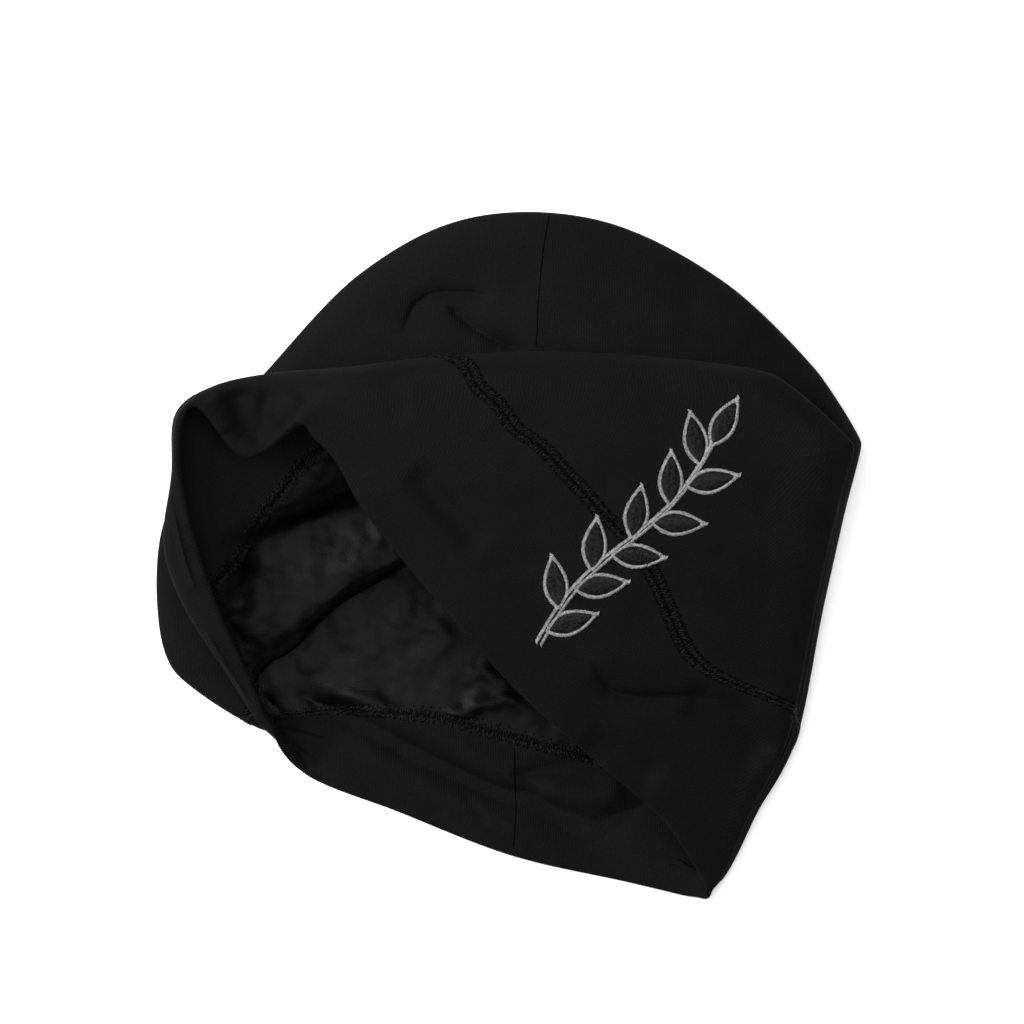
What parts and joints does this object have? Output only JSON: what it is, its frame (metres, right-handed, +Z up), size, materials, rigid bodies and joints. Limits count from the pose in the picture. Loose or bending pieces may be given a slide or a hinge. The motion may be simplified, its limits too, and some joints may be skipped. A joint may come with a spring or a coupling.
{
  "type": "skull cap",
  "caption": "Close-fitting lined knit skull cap with a deep cuff, lying on its back with the front folded up over the crown so that the mouth stands open.",
  "frame": {"origin": "on the surface that the cap lies on, under the middle of its bounding box", "axes": "+Z up from the surface, +Y towards the crown's top, +X towards the cap's right side as the picture shows it"},
  "size_m": [0.2464, 0.2404, 0.0511],
  "materials": {
    "jersey": "matt fine-gauge stretch knit",
    "satin": "soft gloss satin",
    "embroidery_fill": "black embroidery thread",
    "embroidery_outline": "grey embroidery thread",
    "sewing_thread": "black sewing thread"
  },
  "bodies": {
    "root": {"body_shell": "jersey", "cuff_band": "jersey", "lining": "satin", "embroidered_sprig": "embroidery_fill"}
  },
  "joints": []
}
